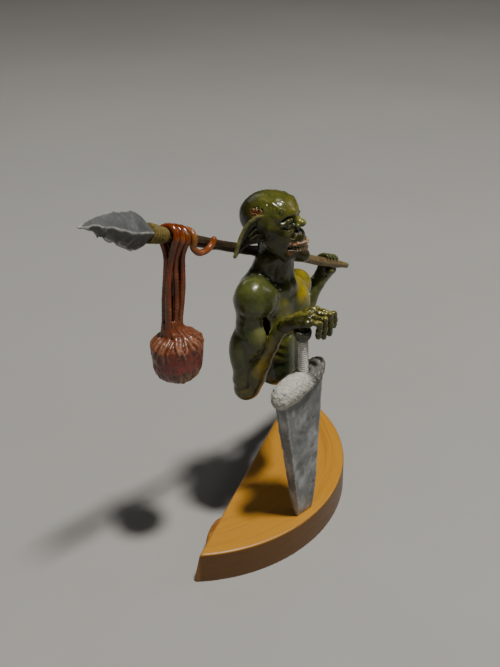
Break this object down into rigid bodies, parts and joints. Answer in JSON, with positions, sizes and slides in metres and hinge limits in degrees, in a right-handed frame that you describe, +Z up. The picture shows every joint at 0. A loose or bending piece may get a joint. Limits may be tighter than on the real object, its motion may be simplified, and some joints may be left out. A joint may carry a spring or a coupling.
{
  "type": "goblin figurine",
  "caption": "Painted goblin bust leaning on a dagger that stands on a half-moon wooden slab, with a spear across its back and a hanging trophy on the shaft.",
  "frame": {"origin": "on the underside of the slab, directly under the blade tip", "axes": "+Z up, -Y the way the goblin faces, +X the goblin's left"},
  "size_m": [0.1897, 0.093, 0.2022],
  "materials": {
    "wood_base": "satin",
    "blade_grey": "satin",
    "guard_stone": "matte",
    "grip_wire": "satin",
    "pommel_dark": "satin",
    "rod_steel": "satin",
    "crumpled_foil": "satin",
    "armature_wire": "satin",
    "green_skin": "gloss",
    "eye_ball": "gloss",
    "tooth_ivory": "satin",
    "shaft_wood": "satin",
    "flint_grey": "satin",
    "olive_cord": "matte",
    "red_sinew": "gloss",
    "red_bulb": "gloss"
  },
  "bodies": {
    "figure": {"wood_base": "wood_base", "dagger_blade": "blade_grey", "dagger_guard": "guard_stone", "grip_wire_wrap": "grip_wire", "pommel": "pommel_dark", "support_rod": "rod_steel", "torso_core": "crumpled_foil", "head_core": "crumpled_foil", "right_arm_wire": "armature_wire", "left_arm_wire": "armature_wire", "neck_wire": "armature_wire", "right_eye": "eye_ball", "left_eye": "eye_ball", "upper_teeth": "tooth_ivory", "lower_teeth": "tooth_ivory", "torso": "green_skin", "head": "green_skin", "right_ear": "green_skin", "left_ear": "green_skin", "right_upper_arm": "green_skin", "right_forearm": "green_skin", "right_hand": "green_skin", "right_thumb": "green_skin", "right_index_finger": "green_skin", "right_middle_finger": "green_skin", "right_ring_finger": "green_skin", "right_little_finger": "green_skin", "left_upper_arm": "green_skin", "left_forearm": "green_skin", "left_hand": "green_skin", "left_thumb": "green_skin", "left_index_finger": "green_skin", "left_middle_finger": "green_skin", "left_ring_finger": "green_skin", "left_little_finger": "green_skin"},
    "spear": {"spear_shaft": "shaft_wood", "spear_head": "flint_grey", "spear_binding": "olive_cord"},
    "trophy": {"strand_loop_1": "red_sinew", "strand_loop_2": "red_sinew", "strand_loop_3": "red_sinew", "tail_strand": "red_sinew", "trophy_bulb": "red_bulb"}
  },
  "joints": [
    {"name": "spear_slide", "type": "slide", "parent": "figure", "child": "spear", "axis": [-0.9062, -0.0676, 0.4174], "range_m": [-0.008, 0.006]},
    {"name": "trophy_swing", "type": "hinge", "parent": "spear", "child": "trophy", "pos_m": [-0.04634, 0.04006, 0.17791], "axis": [-0.9062, -0.0676, 0.4174], "range_deg": [-25, 25]}
  ]
}
